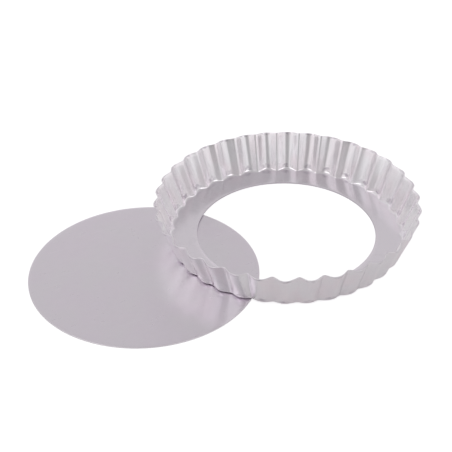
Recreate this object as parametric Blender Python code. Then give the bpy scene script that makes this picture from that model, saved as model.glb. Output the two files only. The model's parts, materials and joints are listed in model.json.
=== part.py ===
"""Fluted tart pan with a loose base, taken apart and set down on a table.

The pan is two pieces of aluminium sheet. The ring is a fluted wall that flares
upwards from a flat ledge with a large round hole. The base plate is a flat disc
that normally lies on that ledge. Here the base plate lies on the table and the
ring leans on its edge.

Frame: metres, +Z up, the table at z = 0. The origin is the centre of the base
plate's underside, and +X points from there towards the ring's centre.
"""

import math

import bmesh
import bpy
import numpy as np

# ---------------------------------------------------------------- dimensions

# Base plate
PLATE_RADIUS = 0.09225
PLATE_THICKNESS = 0.0010
PLATE_EDGE_BREAK = 0.0002
PLATE_SEGMENTS = 120

# Ring: sheet, ledge and hole
SHEET = 0.0008
HOLE_RADIUS = 0.0740

# Ring: flutes. Radii are to the middle of the sheet, at the lobes' outer crests.
# The foot is where the wall, run straight down, would meet the ledge; the bend there
# is wide at the crests and tight at the inward tips. The rim is lowest at the crests
# and rises by RIM_WAVE to the inward tips.
FLUTES = 34
FOOT_CREST_RADIUS = 0.0969
FOOT_FLUTE_DEPTH = 0.0028
FOOT_TIP_SHARE = 0.12
CREST_BEND_RADIUS = 0.0036
TIP_BEND_RADIUS = 0.0016
RIM_CREST_RADIUS = 0.1093
RIM_CREST_HEIGHT = 0.0319
RIM_FLUTE_DEPTH = 0.0036
RIM_TIP_SHARE = 0.20
RIM_WAVE = 0.0014

# How the two pieces lie
RING_DISTANCE = 0.1273
RING_TURN = math.radians(-0.95)
RESTING_GAP = 0.0003

# Fineness of the faceted ring
FLUTE_PHASES = (-0.8, -0.4, 0.0, 0.4, 0.8, 1.0)
BEND_STEPS = 3
WALL_STEPS = 2

SLOPE_PROBE = 1.0e-5


# ------------------------------------------------------------- scene helpers


def clear_scene():
    for old in list(bpy.data.objects):
        bpy.data.objects.remove(old, do_unlink=True)


def satin_aluminium(name, colour, roughness):
    material = bpy.data.materials.new(name)
    material.use_nodes = True
    shader = material.node_tree.nodes["Principled BSDF"]
    shader.inputs["Base Color"].default_value = (*colour, 1.0)
    shader.inputs["Metallic"].default_value = 1.0
    shader.inputs["Roughness"].default_value = roughness
    return material


def add_object(name, shape, material, sharp_angle):
    """Turn a bmesh into a smooth-shaded object with one material."""
    mesh = bpy.data.meshes.new(name)
    bmesh.ops.recalc_face_normals(shape, faces=shape.faces)
    shape.to_mesh(mesh)
    shape.free()
    mesh.materials.append(material)
    mesh.shade_smooth()
    mesh.set_sharp_from_angle(angle=sharp_angle)
    piece = bpy.data.objects.new(name, mesh)
    bpy.context.collection.objects.link(piece)
    return piece


# ---------------------------------------------------------------- base plate


def make_base_plate():
    """A flat disc, standing on z = 0, with its cut edge slightly broken."""
    shape = bmesh.new()
    bmesh.ops.create_circle(shape, cap_ends=True, segments=PLATE_SEGMENTS, radius=PLATE_RADIUS)
    grown = bmesh.ops.extrude_face_region(shape, geom=list(shape.faces))
    top = [item for item in grown["geom"] if isinstance(item, bmesh.types.BMVert)]
    bmesh.ops.translate(shape, verts=top, vec=(0.0, 0.0, PLATE_THICKNESS))

    finish = satin_aluminium("plate_aluminium", (0.74, 0.73, 0.75), 0.32)
    plate = add_object("base_plate", shape, finish, math.radians(30.0))
    edge = plate.modifiers.new("broken_edge", "BEVEL")
    edge.width = PLATE_EDGE_BREAK
    edge.segments = 1
    edge.limit_method = "ANGLE"
    return plate


# --------------------------------------------------------------- fluted ring


def flute_dip(phase, depth, half_pitch, tip_share):
    """How far the sheet lies inside the crest of its lobe.

    The flutes' plan is wide outward arcs joined by narrow inward ones, tangent
    where they meet. The phase is 0 at a lobe's crest and 1 at the inward tip,
    and tip_share is the inward arc's part of the two arcs' radii.
    """
    steepest = 2.0 * math.atan(depth / half_pitch)
    both_radii = half_pitch / math.sin(steepest)
    tip_radius = tip_share * both_radii
    lobe_radius = both_radii - tip_radius
    across = phase * half_pitch
    if phase <= 1.0 - tip_share:
        return lobe_radius - math.sqrt(lobe_radius**2 - across**2)
    from_tip = half_pitch - across
    return depth - tip_radius + math.sqrt(tip_radius**2 - from_tip**2)


def dip_at(angle, crest_radius, depth, tip_share):
    """How far the sheet lies inside its lobes' crests at an angle round the ring."""
    half_pitch_angle = math.pi / FLUTES
    turned = math.remainder(angle - RING_TURN, 2.0 * half_pitch_angle)
    phase = min(abs(turned) / half_pitch_angle, 1.0)
    half_pitch = half_pitch_angle * (crest_radius - 0.5 * depth)
    return flute_dip(phase, depth, half_pitch, tip_share)


def section(angle):
    """The sheet's middle line at one angle, as (radius, height, slope) from the hole to the rim.

    It runs flat along the ledge, round the bend and straight up the wall.
    """
    foot_dip = dip_at(angle, FOOT_CREST_RADIUS, FOOT_FLUTE_DEPTH, FOOT_TIP_SHARE)
    rim_dip = dip_at(angle, RIM_CREST_RADIUS, RIM_FLUTE_DEPTH, RIM_TIP_SHARE)
    foot = FOOT_CREST_RADIUS - foot_dip
    rim = RIM_CREST_RADIUS - rim_dip
    rim_height = RIM_CREST_HEIGHT + RIM_WAVE * rim_dip / RIM_FLUTE_DEPTH
    bend_tightening = (CREST_BEND_RADIUS - TIP_BEND_RADIUS) * foot_dip / FOOT_FLUTE_DEPTH
    bend_radius = CREST_BEND_RADIUS - bend_tightening
    middle = 0.5 * SHEET
    wall_slope = math.atan2(rim_height - middle, rim - foot)
    bend_start = foot - bend_radius * math.tan(0.5 * wall_slope)

    line = [(HOLE_RADIUS, middle, 0.0)]
    for step in range(BEND_STEPS + 1):
        slope = wall_slope * step / BEND_STEPS
        radius = bend_start + bend_radius * math.sin(slope)
        line.append((radius, middle + bend_radius * (1.0 - math.cos(slope)), slope))
    wall_foot_radius, wall_foot_height, _ = line[-1]
    for step in range(1, WALL_STEPS + 1):
        part = step / WALL_STEPS
        radius = wall_foot_radius + part * (rim - wall_foot_radius)
        height = wall_foot_height + part * (rim_height - wall_foot_height)
        line.append((radius, height, wall_slope))
    return np.array(line)


def around(angle, line):
    """Places of a section's points in the ring's own frame."""
    radius, height = line[:, 0], line[:, 1]
    return np.stack([radius * math.cos(angle), radius * math.sin(angle), height], axis=1)


def sheet_faces_at(angle):
    """Points on the sheet's inner and outer faces at one angle, from the hole to the rim."""
    line = section(angle)
    points = around(angle, line)
    ahead = around(angle + SLOPE_PROBE, section(angle + SLOPE_PROBE))
    behind = around(angle - SLOPE_PROBE, section(angle - SLOPE_PROBE))
    along_ring = ahead - behind
    slope = line[:, 2]
    outwards = np.cos(slope)
    up_section = np.stack(
        [outwards * math.cos(angle), outwards * math.sin(angle), np.sin(slope)], axis=1
    )
    inner_normal = np.cross(up_section, along_ring)
    inner_normal /= np.linalg.norm(inner_normal, axis=1, keepdims=True)

    # The rim is cut level through the sheet, so its two edges stay at one height.
    level = inner_normal[-1] * (1.0, 1.0, 0.0)
    inner_normal[-1] = level / np.dot(level, level)

    half = 0.5 * SHEET * inner_normal
    return points + half, points - half


def make_fluted_ring():
    """The pressed ring, as a closed shell between its sheet's two faces."""
    pitch = 2.0 * math.pi / FLUTES
    shape = bmesh.new()
    loops = []
    for flute in range(FLUTES):
        for phase in FLUTE_PHASES:
            angle = RING_TURN + (flute + 0.5 * phase) * pitch
            inner, outer = sheet_faces_at(angle)
            outline = np.concatenate([inner, outer[::-1]])
            loops.append([shape.verts.new(point) for point in outline])
    for here, there in zip(loops, loops[1:] + loops[:1]):
        for corner in range(len(here)):
            after = (corner + 1) % len(here)
            shape.faces.new((here[corner], there[corner], there[after], here[after]))

    finish = satin_aluminium("ring_aluminium", (0.76, 0.75, 0.77), 0.27)
    return add_object("fluted_ring", shape, finish, math.radians(40.0))


def lean_on_plate(ring):
    """Lay the ring on the table with its near side over the plate's edge.

    It touches down at the far foot, where the far lobe's bend begins. It passes
    over the plate where the hole's edge crosses the plate's rim.
    """
    far_line = section(RING_TURN)
    far_foot = far_line[1, 0]
    crossing = (
        PLATE_RADIUS**2 - HOLE_RADIUS**2 + RING_DISTANCE**2
    ) / (2.0 * RING_DISTANCE)
    near_reach = RING_DISTANCE - crossing
    lift = PLATE_THICKNESS + RESTING_GAP
    tilt = math.asin(lift / (far_foot + near_reach))
    ring.location = (RING_DISTANCE, 0.0, far_foot * math.sin(tilt))
    ring.rotation_euler = (0.0, tilt, 0.0)


def main():
    clear_scene()
    make_base_plate()
    lean_on_plate(make_fluted_ring())


main()
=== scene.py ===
"""The looks of a tart pan taken apart: a pressed fluted ring leaning on its loose base plate."""

import json
import math

import bpy
import numpy as np
from mathutils import Matrix, Vector


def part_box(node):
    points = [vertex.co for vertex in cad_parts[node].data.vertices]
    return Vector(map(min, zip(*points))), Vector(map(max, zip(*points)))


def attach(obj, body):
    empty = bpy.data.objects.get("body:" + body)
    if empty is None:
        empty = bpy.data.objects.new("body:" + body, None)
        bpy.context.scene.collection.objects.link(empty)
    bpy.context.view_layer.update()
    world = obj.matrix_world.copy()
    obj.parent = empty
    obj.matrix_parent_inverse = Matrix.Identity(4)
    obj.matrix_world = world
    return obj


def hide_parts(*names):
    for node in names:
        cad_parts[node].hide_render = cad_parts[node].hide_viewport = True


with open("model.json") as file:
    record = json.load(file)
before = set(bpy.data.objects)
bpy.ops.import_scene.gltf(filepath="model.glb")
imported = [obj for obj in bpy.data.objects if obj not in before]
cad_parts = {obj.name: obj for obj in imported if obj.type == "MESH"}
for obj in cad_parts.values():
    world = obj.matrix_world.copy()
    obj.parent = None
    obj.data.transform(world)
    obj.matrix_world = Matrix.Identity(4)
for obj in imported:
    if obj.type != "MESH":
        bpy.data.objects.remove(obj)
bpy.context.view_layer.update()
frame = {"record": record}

# ------------------------------------------------------------- from the frame

MOUNTS = {mount["name"]: mount for mount in frame["record"]["mounts"]}
PLATE_LOW, PLATE_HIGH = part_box("base_plate")

PLATE_RADIUS = 0.5 * (PLATE_HIGH.x - PLATE_LOW.x)
PLATE_THICKNESS = PLATE_HIGH.z - PLATE_LOW.z
PLATE_CENTRE = 0.5 * (PLATE_LOW + PLATE_HIGH)

# The seat's mount lies on the ledge's top, on the ring's far side, at this distance
# from the ring's axis. Its axis is the ring's upright direction.
SEAT_RADIUS = 0.083
SEAT_POINT = Vector(MOUNTS["base_seat"]["pos_m"])
RING_UP = Vector(MOUNTS["base_seat"]["axis"]).normalized()

# ------------------------------------------------------------- the pan's sheet

SHEET = 0.0008
HOLE_RADIUS = 0.0740
FLUTES = 34
FOOT_CREST_RADIUS = 0.0969
FOOT_FLUTE_DEPTH = 0.0028
FOOT_TIP_SHARE = 0.12
FOOT_CREST_SHARE = 0.50
CREST_BEND_RADIUS = 0.0036
TIP_BEND_RADIUS = 0.0016
RIM_CREST_RADIUS = 0.1092
RIM_CREST_HEIGHT = 0.0318
RIM_FLUTE_DEPTH = 0.0036
RIM_TIP_SHARE = 0.15
RIM_CREST_SHARE = 0.50
RIM_WAVE = 0.0013
RING_TURN = math.radians(-0.95)

# How unevenly a pressing comes out of its die: the flutes' spacing, the rim's height
# and the sheet's own waves, each as (amplitude, seed, fewest waves round, most waves round).
SPACING_WANDER = (math.radians(0.17), 3, 3, 48)
RIM_HEIGHT_WANDER = (0.00006, 5, 3, 60)
# The waves in the wall also have a height up the wall, as a part of it, and a spread.
WALL_WAVES = (
    ((0.00005, 11, 10, 70), 0.15, 0.20),
    ((0.00006, 12, 10, 60), 0.50, 0.22),
    ((0.00005, 13, 10, 80), 0.85, 0.20),
)

# Where the sheet is gathered and its colour is darkened as painted shade, as parts of the wall's
# height and of the fullest gathering.
FOOT_GATHER_REACH = 0.14
RIM_GATHER_REACH = 0.12
RIM_GATHER = 0.8
BEND_GATHER = 0.7

EDGE_ROUND = 0.00025
EDGE_STEPS = 3
BEND_STEPS = 8
LEDGE_ROWS = (0.2, 0.5, 0.8, 0.93)
WALL_ROWS = (0.08, 0.18, 0.3, 0.42, 0.54, 0.66, 0.78, 0.9)
COLUMNS_PER_FLUTE = 24
SLOPE_PROBE = 1.0e-5
SLOPE_HALVINGS = 40
RING_SHARP_ANGLE = 60.0

PLATE_SEGMENTS = 240
PLATE_RINGS = (0.06, 0.3, 0.6, 0.85, 0.97)
PLATE_EDGE_STEPS = 4
PLATE_SHARP_ANGLE = 50.0

# Lengths closer than this count as the same.
HAIR = 1.0e-6

# ------------------------------------------------------------------- the camera

CAMERA_AZIMUTH = -24.13
CAMERA_ELEVATION = 35.26
CAMERA_ROLL = -0.927
CAMERA_DISTANCE = 1.0771
CAMERA_LENS = 102.11
CAMERA_TARGET = Vector((0.08612, 0.03057, 0.00030))
CAMERA_SENSOR = 36.0
CAMERA_CLIP = (0.01, 50.0)


# ------------------------------------------------------------------ mesh tools


def smooth_object(name, vertices, faces, sharp_angle):
    mesh = bpy.data.meshes.new(name)
    mesh.from_pydata([tuple(place) for place in vertices], [], faces)
    mesh.validate()
    mesh.update()
    mesh.shade_smooth()
    mesh.set_sharp_from_angle(angle=math.radians(sharp_angle))
    piece = bpy.data.objects.new(name, mesh)
    bpy.context.scene.collection.objects.link(piece)
    return piece


def store(piece, name, values):
    """Keep a number or a vector at each vertex, for the materials to read."""
    values = np.asarray(values, dtype=np.float32)
    is_vector = values.ndim == 2
    kind, key = ("FLOAT_VECTOR", "vector") if is_vector else ("FLOAT", "value")
    piece.data.attributes.new(name, kind, "POINT").data.foreach_set(key, values.ravel())


def grid_faces(columns, rows, closed_rows):
    """Quads of a grid that closes round its columns, and round its rows too if asked."""
    faces = []
    steps = rows if closed_rows else rows - 1
    for column in range(columns):
        here, there = column * rows, ((column + 1) % columns) * rows
        for row in range(steps):
            after = (row + 1) % rows
            faces.append((here + after, there + after, there + row, here + row))
    return faces


# ------------------------------------------------------------------ fluted ring


def wander(angle, amplitude, seed, fewest, most):
    """A smooth random value round the ring, which closes on itself."""
    random = np.random.default_rng(seed)
    total = np.zeros_like(angle)
    for waves in range(fewest, most):
        total += random.normal() * np.sin(waves * angle + random.uniform(0.0, 2.0 * math.pi))
    return amplitude * total / math.sqrt(0.5 * (most - fewest))


def flank_slope(steepness, rounded_share):
    """The slope of a flute's flat flank, for its depth over its half pitch.

    It is found by halving a bracket. The rounded share is the crest's and the tip's together.
    """
    low, high = 0.0, 0.45 * math.pi
    for _ in range(SLOPE_HALVINGS):
        slope = 0.5 * (low + high)
        reached = rounded_share * math.tan(0.5 * slope)
        reached += (1.0 - rounded_share) * math.tan(slope)
        low, high = (slope, high) if reached < steepness else (low, slope)
    return slope


def flute_dip(phase, depth, half_pitch, crest_share, tip_share):
    """How far the sheet lies inside its lobe's crest: a round crest, a flat flank, a tight tip.

    The phase is 0 at the crest and 1 at the tip. The shares are the crest's and the tip's
    parts of the half pitch.
    """
    slope = flank_slope(depth / half_pitch, crest_share + tip_share)
    crest_width, tip_width = crest_share * half_pitch, tip_share * half_pitch
    crest_radius, tip_radius = crest_width / math.sin(slope), tip_width / math.sin(slope)
    across = phase * half_pitch
    on_crest = crest_radius - np.sqrt(crest_radius**2 - np.minimum(across, crest_width) ** 2)
    on_flank = crest_radius * (1.0 - math.cos(slope)) + (across - crest_width) * math.tan(slope)
    from_tip = np.minimum(half_pitch - across, tip_width)
    on_tip = depth - tip_radius + np.sqrt(tip_radius**2 - from_tip**2)
    stretches = [phase <= crest_share, phase < 1.0 - tip_share]
    return np.select(stretches, [on_crest, on_flank], on_tip)


def dip_at(angle, crest_radius, depth, crest_share, tip_share):
    half_pitch_angle = math.pi / FLUTES
    turned = (angle - RING_TURN + wander(angle, *SPACING_WANDER)) / (2.0 * half_pitch_angle)
    phase = np.abs(turned - np.round(turned)) * 2.0
    half_pitch = half_pitch_angle * (crest_radius - 0.5 * depth)
    return flute_dip(phase, depth, half_pitch, crest_share, tip_share)


def foot_dip_at(angle):
    return dip_at(angle, FOOT_CREST_RADIUS, FOOT_FLUTE_DEPTH, FOOT_CREST_SHARE, FOOT_TIP_SHARE)


def rim_dip_at(angle):
    return dip_at(angle, RIM_CREST_RADIUS, RIM_FLUTE_DEPTH, RIM_CREST_SHARE, RIM_TIP_SHARE)


def stations():
    """Where the mesh's rows lie along the sheet's middle line, from the hole to the rim.

    Each is the stretch it is on, how far along that stretch it lies, and how far the
    sheet's faces stand off the middle line there. Both cut edges are rounded.
    """
    half = 0.5 * SHEET
    rounded = [(0.0, half - EDGE_ROUND)]
    for step in range(1, EDGE_STEPS + 1):
        turn = 0.5 * math.pi * step / EDGE_STEPS
        back = EDGE_ROUND * (1.0 - math.cos(turn))
        rounded.append((back, half - EDGE_ROUND * (1.0 - math.sin(turn))))
    line = [("hole", back, stand_off) for back, stand_off in rounded]
    line += [("ledge", part, half) for part in LEDGE_ROWS]
    line += [("bend", step / BEND_STEPS, half) for step in range(BEND_STEPS + 1)]
    line += [("wall", part, half) for part in WALL_ROWS]
    line += [("rim", back, stand_off) for back, stand_off in reversed(rounded)]
    return line


STATIONS = stations()


def section(angle):
    """The middle line at each angle and station.

    It is given as the radius, the height, the slope and the distance along the sheet from the
    hole, each as one row for each angle.
    """
    foot_dip, rim_dip = foot_dip_at(angle), rim_dip_at(angle)
    foot = FOOT_CREST_RADIUS - foot_dip
    rim = RIM_CREST_RADIUS - rim_dip
    rim_height = RIM_CREST_HEIGHT + RIM_WAVE * rim_dip / RIM_FLUTE_DEPTH
    rim_height = rim_height + wander(angle, *RIM_HEIGHT_WANDER)
    bend_tightening = (CREST_BEND_RADIUS - TIP_BEND_RADIUS) * foot_dip / FOOT_FLUTE_DEPTH
    bend_radius = CREST_BEND_RADIUS - bend_tightening
    middle = 0.5 * SHEET
    wall_slope = np.arctan2(rim_height - middle, rim - foot)
    bend_start = foot - bend_radius * np.tan(0.5 * wall_slope)
    wall_radius = bend_start + bend_radius * np.sin(wall_slope)
    wall_height = middle + bend_radius * (1.0 - np.cos(wall_slope))
    wall_length = np.hypot(rim - wall_radius, rim_height - wall_height)
    bend_length = bend_radius * wall_slope

    radius, height, slope, distance = [], [], [], []
    for stretch, place, _ in STATIONS:
        if stretch in ("hole", "ledge"):
            along = place if stretch == "hole" else place * (bend_start - HOLE_RADIUS)
            radius.append(HOLE_RADIUS + along + 0.0 * angle)
            height.append(middle + 0.0 * angle)
            slope.append(0.0 * angle)
            distance.append(along + 0.0 * angle)
        elif stretch == "bend":
            turn = place * wall_slope
            radius.append(bend_start + bend_radius * np.sin(turn))
            height.append(middle + bend_radius * (1.0 - np.cos(turn)))
            slope.append(turn)
            distance.append(bend_start - HOLE_RADIUS + place * bend_length)
        else:
            along = place * wall_length if stretch == "wall" else wall_length - place
            radius.append(wall_radius + along * np.cos(wall_slope))
            height.append(wall_height + along * np.sin(wall_slope))
            slope.append(wall_slope)
            distance.append(bend_start - HOLE_RADIUS + bend_length + along)
    return (np.array(values).T for values in (radius, height, slope, distance))


def around(angle, radius, height):
    cosine, sine = np.cos(angle)[:, None], np.sin(angle)[:, None]
    return np.stack([radius * cosine, radius * sine, height], axis=2)


def middle_line_at(angle):
    radius, height, _, _ = section(angle)
    return around(angle, radius, height)


def wall_part(stretch, place):
    """How far up the wall a station lies, or None off the wall."""
    if stretch == "wall":
        return place
    return 1.0 if stretch == "rim" else None


def sheet_waves(angle):
    """How far the sheet stands off its true shape at each angle and station."""
    waves = np.zeros((len(angle), len(STATIONS)))
    for round_ring, centre, spread in WALL_WAVES:
        swell = wander(angle, *round_ring)
        for station, (stretch, place, _) in enumerate(STATIONS):
            part = wall_part(stretch, place)
            if part is not None:
                waves[:, station] += swell * math.exp(-(((part - centre) / spread) ** 2))
    return waves


def pucker_and_shade_mask(angle):
    """How much the sheet is gathered, and darkened as painted shade, at each angle and station: at
    the lobes' feet and rims.
    """
    on_crest = 1.0 - rim_dip_at(angle) / RIM_FLUTE_DEPTH
    gather_and_shade = []
    for stretch, place, _ in STATIONS:
        part = wall_part(stretch, place)
        if part is None:
            gather_and_shade.append(BEND_GATHER * place**2 if stretch == "bend" else 0.0)
            continue
        at_foot = math.exp(-((part / FOOT_GATHER_REACH) ** 2))
        at_rim = math.exp(-(((1.0 - part) / RIM_GATHER_REACH) ** 2))
        gather_and_shade.append(at_foot + RIM_GATHER * at_rim)
    return on_crest[:, None] * np.array(gather_and_shade)[None, :]


def ring_sheet():
    """The closed sheet's angles, its vertices and their distances from the hole.

    The vertices are in the ring's own frame, and the distances run along the sheet.
    """
    columns = FLUTES * COLUMNS_PER_FLUTE
    angle = RING_TURN + 2.0 * math.pi * np.arange(columns) / columns
    radius, height, slope, distance = section(angle)
    middle = around(angle, radius, height)
    along_ring = middle_line_at(angle + SLOPE_PROBE) - middle_line_at(angle - SLOPE_PROBE)
    cosine, sine = np.cos(angle)[:, None], np.sin(angle)[:, None]
    outwards = np.cos(slope)
    up_section = np.stack([outwards * cosine, outwards * sine, np.sin(slope)], axis=2)
    normal = np.cross(up_section, along_ring)
    normal /= np.linalg.norm(normal, axis=2, keepdims=True)
    middle += sheet_waves(angle)[:, :, None] * normal
    stand_off = np.array([station[2] for station in STATIONS])[None, :, None]
    inner = middle + stand_off * normal
    outer = middle - stand_off * normal
    loop = np.concatenate([inner, outer[:, ::-1]], axis=1)
    return angle, loop, np.concatenate([distance, distance[:, ::-1]], axis=1)


def there_and_back(values):
    """A value at each station, for the sheet's inner face and then back down its outer one."""
    return np.concatenate([values, values[::-1]])


def place_ring(points):
    """Carry points from the ring's own frame to the model's, where it leans on the plate."""
    tilt = math.atan2(RING_UP.x, RING_UP.z)
    sine, cosine = math.sin(tilt), math.cos(tilt)
    centre_x = SEAT_POINT.x - SEAT_RADIUS * cosine - SHEET * sine
    centre_z = SEAT_POINT.z + SEAT_RADIUS * sine - SHEET * cosine
    x, y, z = points[:, 0], points[:, 1], points[:, 2]
    along, up = centre_x + x * cosine + z * sine, centre_z - x * sine + z * cosine
    return np.stack([along, y, up], axis=1)


def make_ring():
    """The pressed ring, with what its material needs to know at each vertex."""
    angle, loop, distance = ring_sheet()
    columns, rows = loop.shape[:2]
    vertices = place_ring(loop.reshape(-1, 3))
    faces = grid_faces(columns, rows, closed_rows=True)
    ring = smooth_object("ring_sheet", vertices, faces, RING_SHARP_ANGLE)

    # A place on the flat sheet: round a fixed circle, and out from the hole.
    turn = np.repeat(angle, rows)
    circle = 0.5 * (HOLE_RADIUS + RIM_CREST_RADIUS)
    unrolled = np.stack([circle * np.cos(turn), circle * np.sin(turn), distance.ravel()], axis=1)
    store(ring, "sheet_place", unrolled)
    drawn = {"hole": 0.0, "ledge": 0.0, "wall": 1.0, "rim": 1.0}
    drawn_at = np.array([drawn.get(stretch, place) for stretch, place, _ in STATIONS])
    store(ring, "drawn", np.tile(there_and_back(drawn_at), columns))
    gather_and_shade = pucker_and_shade_mask(angle)
    store(ring, "pucker_and_shade", np.concatenate([gather_and_shade, gather_and_shade[:, ::-1]], axis=1).ravel())
    half = 0.5 * SHEET
    is_cut = np.array([float(stand_off < half - HAIR) for _, _, stand_off in STATIONS])
    at_hole = np.array([stretch == "hole" for stretch, _, _ in STATIONS])
    # The hole's pierced edge is marked for a painted shadow.
    trimmed, hole_shadow_mask = np.where(at_hole, 0.0, is_cut), np.where(at_hole, is_cut, 0.0)
    store(ring, "cut_edge", np.tile(there_and_back(trimmed), columns))
    store(ring, "hole_edge_shadow", np.tile(there_and_back(hole_shadow_mask), columns))

    ring.data.materials.append(ring_aluminium())
    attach(ring, "ring")
    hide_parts("fluted_ring")


# ------------------------------------------------------------------- base plate


def plate_profile():
    """Radius and height from near the top's middle, over the cut edge, to near the underside's."""
    half = 0.5 * PLATE_THICKNESS
    upper = [(PLATE_RADIUS * part, half) for part in PLATE_RINGS]
    for step in range(PLATE_EDGE_STEPS + 1):
        turn = 0.5 * math.pi * step / PLATE_EDGE_STEPS
        out, down = math.sin(turn), 1.0 - math.cos(turn)
        upper.append((PLATE_RADIUS - EDGE_ROUND * (1.0 - out), half - EDGE_ROUND * down))
    return upper + [(radius, -height) for radius, height in reversed(upper)]


def make_plate():
    """The base plate: rings of quads round it, closed in the middle by two fans."""
    profile = plate_profile()
    rows = len(profile)
    vertices = []
    for segment in range(PLATE_SEGMENTS):
        turn = 2.0 * math.pi * segment / PLATE_SEGMENTS
        for radius, height in profile:
            spot = Vector((radius * math.cos(turn), radius * math.sin(turn), height))
            vertices.append(PLATE_CENTRE + spot)
    faces = grid_faces(PLATE_SEGMENTS, rows, closed_rows=False)
    top, bottom = len(vertices), len(vertices) + 1
    half = Vector((0.0, 0.0, 0.5 * PLATE_THICKNESS))
    vertices += [PLATE_CENTRE + half, PLATE_CENTRE - half]
    for segment in range(PLATE_SEGMENTS):
        here, there = segment * rows, ((segment + 1) % PLATE_SEGMENTS) * rows
        faces.append((top, here, there))
        faces.append((bottom, there + rows - 1, here + rows - 1))
    plate = smooth_object("base_sheet", vertices, faces, PLATE_SHARP_ANGLE)

    flat_height = 0.5 * PLATE_THICKNESS - HAIR
    is_cut = [float(abs(height) < flat_height) for _, height in profile]
    store(plate, "cut_edge", np.array(is_cut * PLATE_SEGMENTS + [0.0, 0.0]))
    plate.data.materials.append(plate_aluminium())
    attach(plate, "base")
    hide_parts("base_plate")


# -------------------------------------------------------------------- materials


def node(tree, kind, inputs=None, **settings):
    """Add a shader node, with each named input set to a value or linked to a socket."""
    made = tree.nodes.new("ShaderNode" + kind)
    for name, value in settings.items():
        setattr(made, name, value)
    for name, value in (inputs or {}).items():
        if isinstance(value, bpy.types.NodeSocket):
            tree.links.new(value, made.inputs[name])
        else:
            made.inputs[name].default_value = value
    return made


def noise(tree, place, scale, turn=0.0, detail=3.0):
    """Noise with a size of its own along each axis, as waves to the metre."""
    moved = node(tree, "Mapping", {"Vector": place, "Rotation": (0.0, 0.0, turn), "Scale": scale})
    texture = node(tree, "TexNoise", {"Vector": moved.outputs[0], "Scale": 1.0, "Detail": detail})
    return texture.outputs["Fac"]


def spread(tree, value, low, high, start=0.3, end=0.7):
    """Carry one quantity's range to another's. The first is a noise's middle unless it is given."""
    limits = {"From Min": start, "From Max": end, "To Min": low, "To Max": high}
    return node(tree, "MapRange", {"Value": value, **limits}).outputs["Result"]


def blend(tree, factor, first, second):
    made = node(tree, "Mix", {0: factor, 6: first, 7: second}, data_type="RGBA")
    return made.outputs[2]


def blend_number(tree, factor, first, second):
    return node(tree, "Mix", {0: factor, 2: first, 3: second}).outputs[0]


def add_up(tree, first, second):
    return node(tree, "Math", {0: first, 1: second}, operation="ADD").outputs[0]


def multiply(tree, first, second):
    return node(tree, "Math", {0: first, 1: second}, operation="MULTIPLY").outputs[0]


def dot_product(tree, first, second):
    made = node(tree, "VectorMath", {0: first, 1: second}, operation="DOT_PRODUCT")
    return made.outputs["Value"]


def stored(tree, name, output):
    return node(tree, "Attribute", attribute_name=name).outputs[output]


NEUTRAL_METAL = (0.870, 0.871, 0.876, 1.0)
PINK_METAL = (0.884, 0.850, 0.862, 1.0)
# The ledge is the part of the sheet that was never drawn, so it keeps the rolled sheet's tint.
ROLLED_METAL = (0.930, 0.891, 0.936, 1.0)
DULL_METAL = (0.76, 0.73, 0.77, 1.0)
# Painted shade, for the gathered feet and rims and for the hole's pierced edge.
SHADE_PAINT_METAL = (0.50, 0.47, 0.51, 1.0)
LILAC_METAL = (0.866, 0.816, 0.872, 1.0)
PALE_LILAC_METAL = (0.860, 0.828, 0.866, 1.0)
RUBBED_METAL = (0.95, 0.90, 0.95, 1.0)
CUT_METAL = (0.82, 0.80, 0.82, 1.0)
CUT_ROUGHNESS = 0.30

# Sizes of the noises, as waves to the metre along each axis. The drawing marks and the crumpling
# lie on the flat sheet, so their last number runs out from the hole.
DRAWING_FINE = (1700.0, 1700.0, 26.0)
DRAWING_BROAD = (460.0, 460.0, 16.0)
CRUMPLE = (330.0, 330.0, 430.0)
RING_BLUSH = (75.0, 75.0, 45.0)
RING_STAIN = (120.0, 120.0, 80.0)
GRAIN_FINE = (30.0, 2600.0, 30.0)
GRAIN_BROAD = (12.0, 620.0, 12.0)
PLATE_BLUSH = (26.0, 26.0, 26.0)
PLATE_MOTTLE = (130.0, 130.0, 130.0)
PLATE_RUBS = (22.0, 760.0, 22.0)

# The second one's share where two kinds of mark are mixed.
DRAWING_BROAD_SHARE = 0.45
GRAIN_BROAD_SHARE = 0.4
RUB_SHARE = 0.3

# Which way the grain and the rubs run, in radians.
LEDGE_GRAIN_TURN = 0.5
PLATE_GRAIN_TURN = -0.35
RUB_TURN = 1.1

# How a noise carries over, as (least, most, the noise it starts from, the noise it is full at).
RING_BLUSH_RANGE = (0.0, 1.0, 0.42, 0.62)
RING_STAIN_RANGE = (0.0, 0.30, 0.55, 0.75)
GATHER_SHADE_RANGE = (0.0, 0.90, 0.24, 0.46)
STREAK_RANGE = (0.0, 0.2)
PLATE_BLUSH_RANGE = (0.0, 1.0, 0.4, 0.6)
PLATE_MOTTLE_RANGE = (0.0, 0.14, 0.45, 0.75)
RUB_RANGE = (0.0, 0.3, 0.66, 0.74)
RING_ROUGHNESS = (0.16, 0.25, 0.7, 1.3)
PLATE_ROUGHNESS = (0.27, 0.35, 0.7, 1.3)

# Heights of the marks in metres, and how many times deeper the gathers are than the drawing marks.
RING_MARK_HEIGHT = 0.0000035
PLATE_MARK_HEIGHT = 0.000008
GATHER_DEPTH = 22.0


def metal(name):
    """A new fully metallic material, with its node tree and its shader."""
    material = bpy.data.materials.new(name)
    material.use_nodes = True
    shader = material.node_tree.nodes["Principled BSDF"]
    shader.inputs["Metallic"].default_value = 1.0
    return material, material.node_tree, shader


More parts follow.
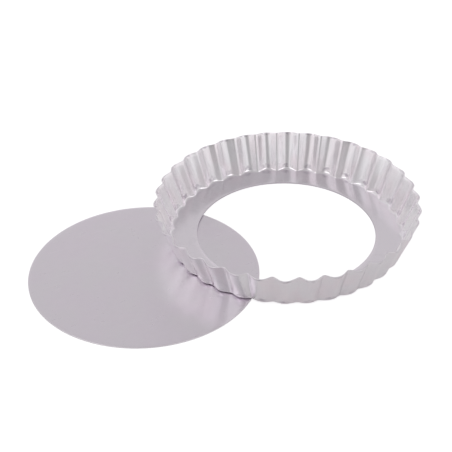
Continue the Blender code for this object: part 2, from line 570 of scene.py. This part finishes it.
def finish_metal(tree, shader, colour, roughness, marks, mark_height):
    """Give a metal its cut edges, and link its colour, roughness and bump."""
    cut = stored(tree, "cut_edge", "Fac")
    colour = blend(tree, cut, colour, CUT_METAL)
    roughness = blend_number(tree, cut, roughness, CUT_ROUGHNESS)
    bump = node(tree, "Bump", {"Height": marks, "Distance": mark_height, "Strength": 1.0})
    tree.links.new(colour, shader.inputs["Base Color"])
    tree.links.new(roughness, shader.inputs["Roughness"])
    tree.links.new(bump.outputs[0], shader.inputs["Normal"])


def rolled_grain(tree, place, turn):
    """Fine straight lines left in a sheet by the rolling mill."""
    fine = noise(tree, place, GRAIN_FINE, turn)
    broad = noise(tree, place, GRAIN_BROAD, turn)
    return blend_number(tree, GRAIN_BROAD_SHARE, fine, broad)


def ring_aluminium():
    material, tree, shader = metal("ring_aluminium")
    place = node(tree, "TexCoord").outputs["Object"]
    sheet_place = stored(tree, "sheet_place", "Vector")
    drawn = stored(tree, "drawn", "Fac")

    # Fine marks up the flutes, where the sheet slid over the die, and rolled grain on the ledge.
    fine = noise(tree, sheet_place, DRAWING_FINE)
    broad = noise(tree, sheet_place, DRAWING_BROAD)
    drawing = blend_number(tree, DRAWING_BROAD_SHARE, fine, broad)
    marks = blend_number(tree, drawn, rolled_grain(tree, place, LEDGE_GRAIN_TURN), drawing)

    # The sheet is crumpled where it was gathered. The same mask also darkens its colour as painted
    # shade, further down.
    crumple = noise(tree, sheet_place, CRUMPLE, detail=4.0)
    gather_and_shade = multiply(tree, stored(tree, "pucker_and_shade", "Fac"), crumple)
    marks = add_up(tree, marks, multiply(tree, gather_and_shade, GATHER_DEPTH))

    blush = noise(tree, place, RING_BLUSH)
    stain = noise(tree, place, RING_STAIN, detail=2.0)
    colour = blend(tree, spread(tree, blush, *RING_BLUSH_RANGE), NEUTRAL_METAL, PINK_METAL)
    colour = blend(tree, drawn, ROLLED_METAL, colour)
    colour = blend(tree, spread(tree, stain, *RING_STAIN_RANGE), colour, DULL_METAL)
    # Painted shade: darker at the lobes' feet and along their rims, where the sheet is gathered.
    colour = blend(tree, spread(tree, gather_and_shade, *GATHER_SHADE_RANGE), colour, SHADE_PAINT_METAL)
    streak = multiply(tree, drawn, spread(tree, broad, *STREAK_RANGE))
    colour = blend(tree, streak, colour, DULL_METAL)
    # Painted shadow along the hole's pierced edge, standing in for the shade of the gap between it
    # and the plate.
    colour = blend(tree, stored(tree, "hole_edge_shadow", "Fac"), colour, SHADE_PAINT_METAL)
    roughness = spread(tree, add_up(tree, broad, stain), *RING_ROUGHNESS)
    finish_metal(tree, shader, colour, roughness, marks, RING_MARK_HEIGHT)
    return material


def plate_aluminium():
    material, tree, shader = metal("plate_aluminium")
    place = node(tree, "TexCoord").outputs["Object"]
    grain = rolled_grain(tree, place, PLATE_GRAIN_TURN)
    blush = noise(tree, place, PLATE_BLUSH)
    mottle = noise(tree, place, PLATE_MOTTLE, detail=4.0)
    # Sparse rubs where the plate has slid on the ledge and been wiped.
    rubs = noise(tree, place, PLATE_RUBS, RUB_TURN, detail=2.0)
    rub = spread(tree, rubs, *RUB_RANGE)

    colour = blend(tree, spread(tree, blush, *PLATE_BLUSH_RANGE), LILAC_METAL, PALE_LILAC_METAL)
    colour = blend(tree, spread(tree, mottle, *PLATE_MOTTLE_RANGE), colour, DULL_METAL)
    colour = blend(tree, rub, colour, RUBBED_METAL)
    roughness = spread(tree, add_up(tree, grain, mottle), *PLATE_ROUGHNESS)
    marks = add_up(tree, grain, blend_number(tree, RUB_SHARE, mottle, rub))
    finish_metal(tree, shader, colour, roughness, marks, PLATE_MARK_HEIGHT)
    return material


# ----------------------------------------------------------------------- studio

FLOOR_REACH = 6.0
FLOOR_DROP = 0.0001
WHITE = (1.0, 1.0, 1.0, 1.0)
GLOSSY_BOUNCES = 8

# The paper as the camera sees it: nearly clear white with the light on it.
SEEN_PAPER = (0.44, 0.44, 0.44, 1.0)
SEEN_GLOW = 0.79
# The paper as the metal reflects it. Its glow grows from the ring's front foot backwards, which
# is a fit to the photograph. The stretch that it grows over is measured from the base plate's
# centre, away from the camera.
MIRRORED_PAPER = (0.80, 0.78, 0.79, 1.0)
MIRRORED_GLOW = (0.08, 0.19)
GLOW_STRETCH = (-0.035, 0.030)

# The light from each height, as (sine of the height above the horizon, brightness).
SKY_STEPS = ((0.0, 0.95), (0.25, 0.87), (0.57, 0.58), (0.80, 0.51), (1.0, 0.48))
# The light is very slightly lilac.
SKY_TINT = (1.0, 0.974, 1.0)
# Soft lights round the camera: (turn from the camera, height above the horizon, degrees across
# the full light and its faded edge, brightness). The last is the camera's own dark shape.
SOFT_LIGHTS = (
    (-50.0, 37.0, 10.0, 25.0, 0.90),
    (50.0, 37.0, 10.0, 25.0, 0.90),
    (-120.0, 60.0, 8.0, 30.0, 0.30),
    (0.0, 8.0, 11.0, 22.0, -0.44),
)


def studio_direction(turn, height):
    """The direction that lies a turn to the right of the camera and a height over the horizon."""
    azimuth, up = math.radians(CAMERA_AZIMUTH + turn), math.radians(height)
    level = math.cos(up)
    return (math.sin(azimuth) * level, -math.cos(azimuth) * level, math.sin(up))


def make_world():
    """Soft studio light from all round; the camera itself sees plain white behind the floor."""
    world = bpy.data.worlds.new("studio")
    bpy.context.scene.world = world
    world.use_nodes = True
    tree = world.node_tree
    direction = node(tree, "TexCoord").outputs["Generated"]
    height = node(tree, "SeparateXYZ", {0: direction}).outputs["Z"]
    ramp = node(tree, "ValToRGB", {0: height})
    elements = ramp.color_ramp.elements
    for element, (place, value) in zip(elements, (SKY_STEPS[0], SKY_STEPS[-1])):
        element.position, element.color = place, (value, value, value, 1.0)
    for place, value in SKY_STEPS[1:-1]:
        elements.new(place).color = (value, value, value, 1.0)
    total = ramp.outputs["Color"]
    for turn, rise, full, faded, brightness in SOFT_LIGHTS:
        fade = {
            "Value": dot_product(tree, direction, studio_direction(turn, rise)),
            "From Min": math.cos(math.radians(faded)),
            "From Max": math.cos(math.radians(full)),
            "To Max": brightness,
        }
        glow = node(tree, "MapRange", fade, interpolation_type="SMOOTHSTEP")
        total = add_up(tree, total, glow.outputs["Result"])
    tinted = node(tree, "VectorMath", {0: total, 1: SKY_TINT}, operation="MULTIPLY").outputs[0]
    seen = node(tree, "LightPath").outputs["Is Camera Ray"]
    background = tree.nodes["Background"]
    tree.links.new(blend(tree, seen, tinted, WHITE), background.inputs["Color"])


def make_floor():
    """White paper, lit almost to clear white where the camera looks at it."""
    mesh = bpy.data.meshes.new("floor")
    reach, height = FLOOR_REACH, -FLOOR_DROP
    sides = ((-reach, -reach), (reach, -reach), (reach, reach), (-reach, reach))
    mesh.from_pydata([(x, y, height) for x, y in sides], [], [(0, 1, 2, 3)])
    floor = bpy.data.objects.new("floor", mesh)
    bpy.context.scene.collection.objects.link(floor)

    material = bpy.data.materials.new("floor_paper")
    material.use_nodes = True
    tree = material.node_tree
    tree.nodes.clear()
    paper = node(tree, "BsdfDiffuse", {"Color": SEEN_PAPER})
    glow = node(tree, "Emission", {"Strength": SEEN_GLOW})
    seen = node(tree, "AddShader", {0: paper.outputs[0], 1: glow.outputs[0]})

    away = tuple(-part for part in studio_direction(0.0, 0.0))
    distance = dot_product(tree, node(tree, "TexCoord").outputs["Object"], away)
    growing = spread(tree, distance, *MIRRORED_GLOW, *GLOW_STRETCH)
    paper = node(tree, "BsdfDiffuse", {"Color": MIRRORED_PAPER})
    glow = node(tree, "Emission", {"Strength": growing})
    mirrored = node(tree, "AddShader", {0: paper.outputs[0], 1: glow.outputs[0]})

    to_camera = node(tree, "LightPath").outputs["Is Camera Ray"]
    either = node(tree, "MixShader", {0: to_camera, 1: mirrored.outputs[0], 2: seen.outputs[0]})
    node(tree, "OutputMaterial", {"Surface": either.outputs[0]})
    mesh.materials.append(material)


def make_camera():
    roll = math.radians(CAMERA_ROLL)
    back = Vector(studio_direction(0.0, CAMERA_ELEVATION))
    azimuth = math.radians(CAMERA_AZIMUTH)
    level = Vector((math.cos(azimuth), math.sin(azimuth), 0.0))
    upright = back.cross(level)
    right = math.cos(roll) * level + math.sin(roll) * upright
    up = math.cos(roll) * upright - math.sin(roll) * level

    data = bpy.data.cameras.new("camera")
    data.lens = CAMERA_LENS
    data.sensor_width = CAMERA_SENSOR
    data.clip_start, data.clip_end = CAMERA_CLIP
    camera = bpy.data.objects.new("camera", data)
    bpy.context.scene.collection.objects.link(camera)
    turn = Matrix((right, up, back)).transposed().to_4x4()
    camera.matrix_world = Matrix.Translation(CAMERA_TARGET + CAMERA_DISTANCE * back) @ turn
    bpy.context.scene.camera = camera


def main():
    make_camera()
    make_world()
    make_floor()
    make_ring()
    make_plate()
    bpy.context.scene.view_settings.view_transform = "Standard"
    # Light goes to and fro between the wall, the ledge and the plate.
    bpy.context.scene.cycles.glossy_bounces = GLOSSY_BOUNCES


main()
